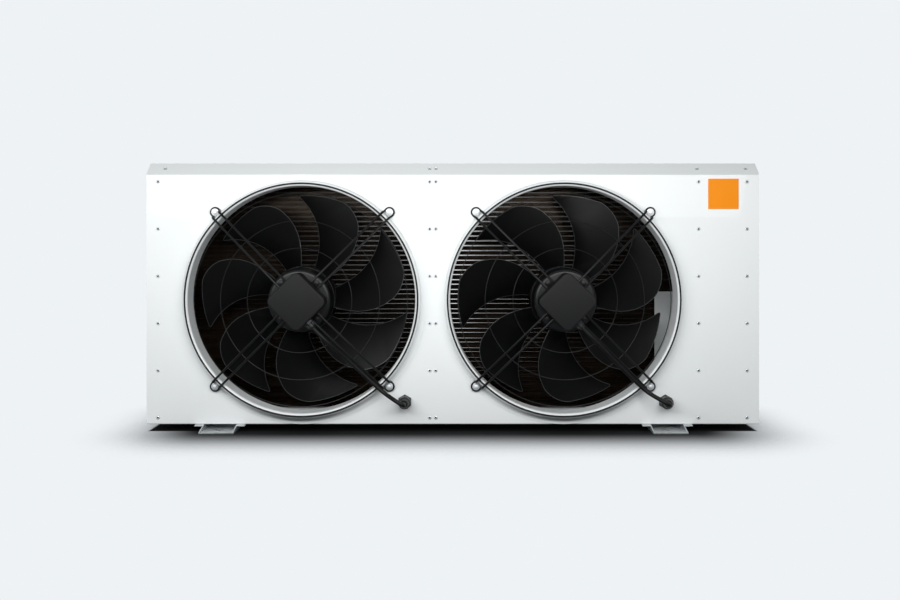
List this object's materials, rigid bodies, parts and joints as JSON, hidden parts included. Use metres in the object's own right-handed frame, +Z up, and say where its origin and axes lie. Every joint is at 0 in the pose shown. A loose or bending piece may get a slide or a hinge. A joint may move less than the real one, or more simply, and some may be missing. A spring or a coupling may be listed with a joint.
{
  "type": "dry_cooler",
  "caption": "Flat dry cooler with two front fans behind wire guards in a white sheet casing, standing on bolted feet",
  "frame": {"origin": "on the floor under the middle of the unit's overall box", "axes": "X runs along the casing's length to the right seen from the front, Y to the back, Z up"},
  "size_m": [1.47, 0.416, 0.642],
  "materials": {
    "casing_paint": "satin white powder coat",
    "galvanized_sheet": "bright galvanized sheet",
    "coil_fins": "thin fins with copper tubes showing between them",
    "copper": "copper tube with brazed joints",
    "brass_fittings": "turned brass",
    "rubber_black": "moulded rubber",
    "black_steel": "black coated steel",
    "black_wire": "black coated wire",
    "fan_black": "black coated blades and rotor",
    "cover_plastic": "dark grey moulded plastic",
    "gland_plastic": "black moulded plastic",
    "cable_sheath": "black cable sheath",
    "zinc_fasteners": "bright zinc plating",
    "shaft_steel": "ground steel",
    "label_orange": "blank orange film"
  },
  "bodies": {
    "casing": {"bearings": "shaft_steel", "bottom_panel": "casing_paint", "coil_baffle": "casing_paint", "coil_block": "coil_fins", "drain_plug": "brass_fittings", "foot_bolts": "zinc_fasteners", "foot_nuts": "zinc_fasteners", "front_panel": "casing_paint", "grommets": "rubber_black", "guard_nuts": "zinc_fasteners", "guard_screws": "black_steel", "header_cover": "casing_paint", "inlet_header": "copper", "inlet_nipple": "brass_fittings", "label_plate": "label_orange", "left_bell_mouth": "casing_paint", "left_cable": "cable_sheath", "left_centre_frame": "galvanized_sheet", "left_coil_plate": "galvanized_sheet", "left_end_panel": "casing_paint", "left_foot": "galvanized_sheet", "left_guard": "black_wire", "left_motor_cover": "cover_plastic", "left_motor_gland": "gland_plastic", "left_motor_housing": "black_steel", "left_panel_gland": "gland_plastic", "left_return_bends": "copper", "lock_nuts": "gland_plastic", "outlet_header": "copper", "outlet_nipple": "brass_fittings", "right_bell_mouth": "casing_paint", "right_cable": "cable_sheath", "right_centre_frame": "galvanized_sheet", "right_coil_plate": "galvanized_sheet", "right_end_panel": "casing_paint", "right_foot": "galvanized_sheet", "right_guard": "black_wire", "right_motor_cover": "cover_plastic", "right_motor_gland": "gland_plastic", "right_motor_housing": "black_steel", "right_panel_gland": "gland_plastic", "right_return_bends": "copper", "stator_cores": "galvanized_sheet", "top_cover": "casing_paint", "vent_valve": "brass_fittings"},
    "left_rotor": {"left_rotor_cup": "fan_black", "left_shaft": "shaft_steel", "left_fan_blades": "fan_black"},
    "right_rotor": {"right_rotor_cup": "fan_black", "right_shaft": "shaft_steel", "right_fan_blades": "fan_black"}
  },
  "joints": [
    {"name": "left_fan_spin", "type": "hinge", "parent": "casing", "child": "left_rotor", "pos_m": [-0.3605, -0.1, 0.314], "axis": [0, -1, 0], "continuous": true},
    {"name": "right_fan_spin", "type": "hinge", "parent": "casing", "child": "right_rotor", "pos_m": [0.2645, -0.1, 0.314], "axis": [0, -1, 0], "continuous": true}
  ]
}
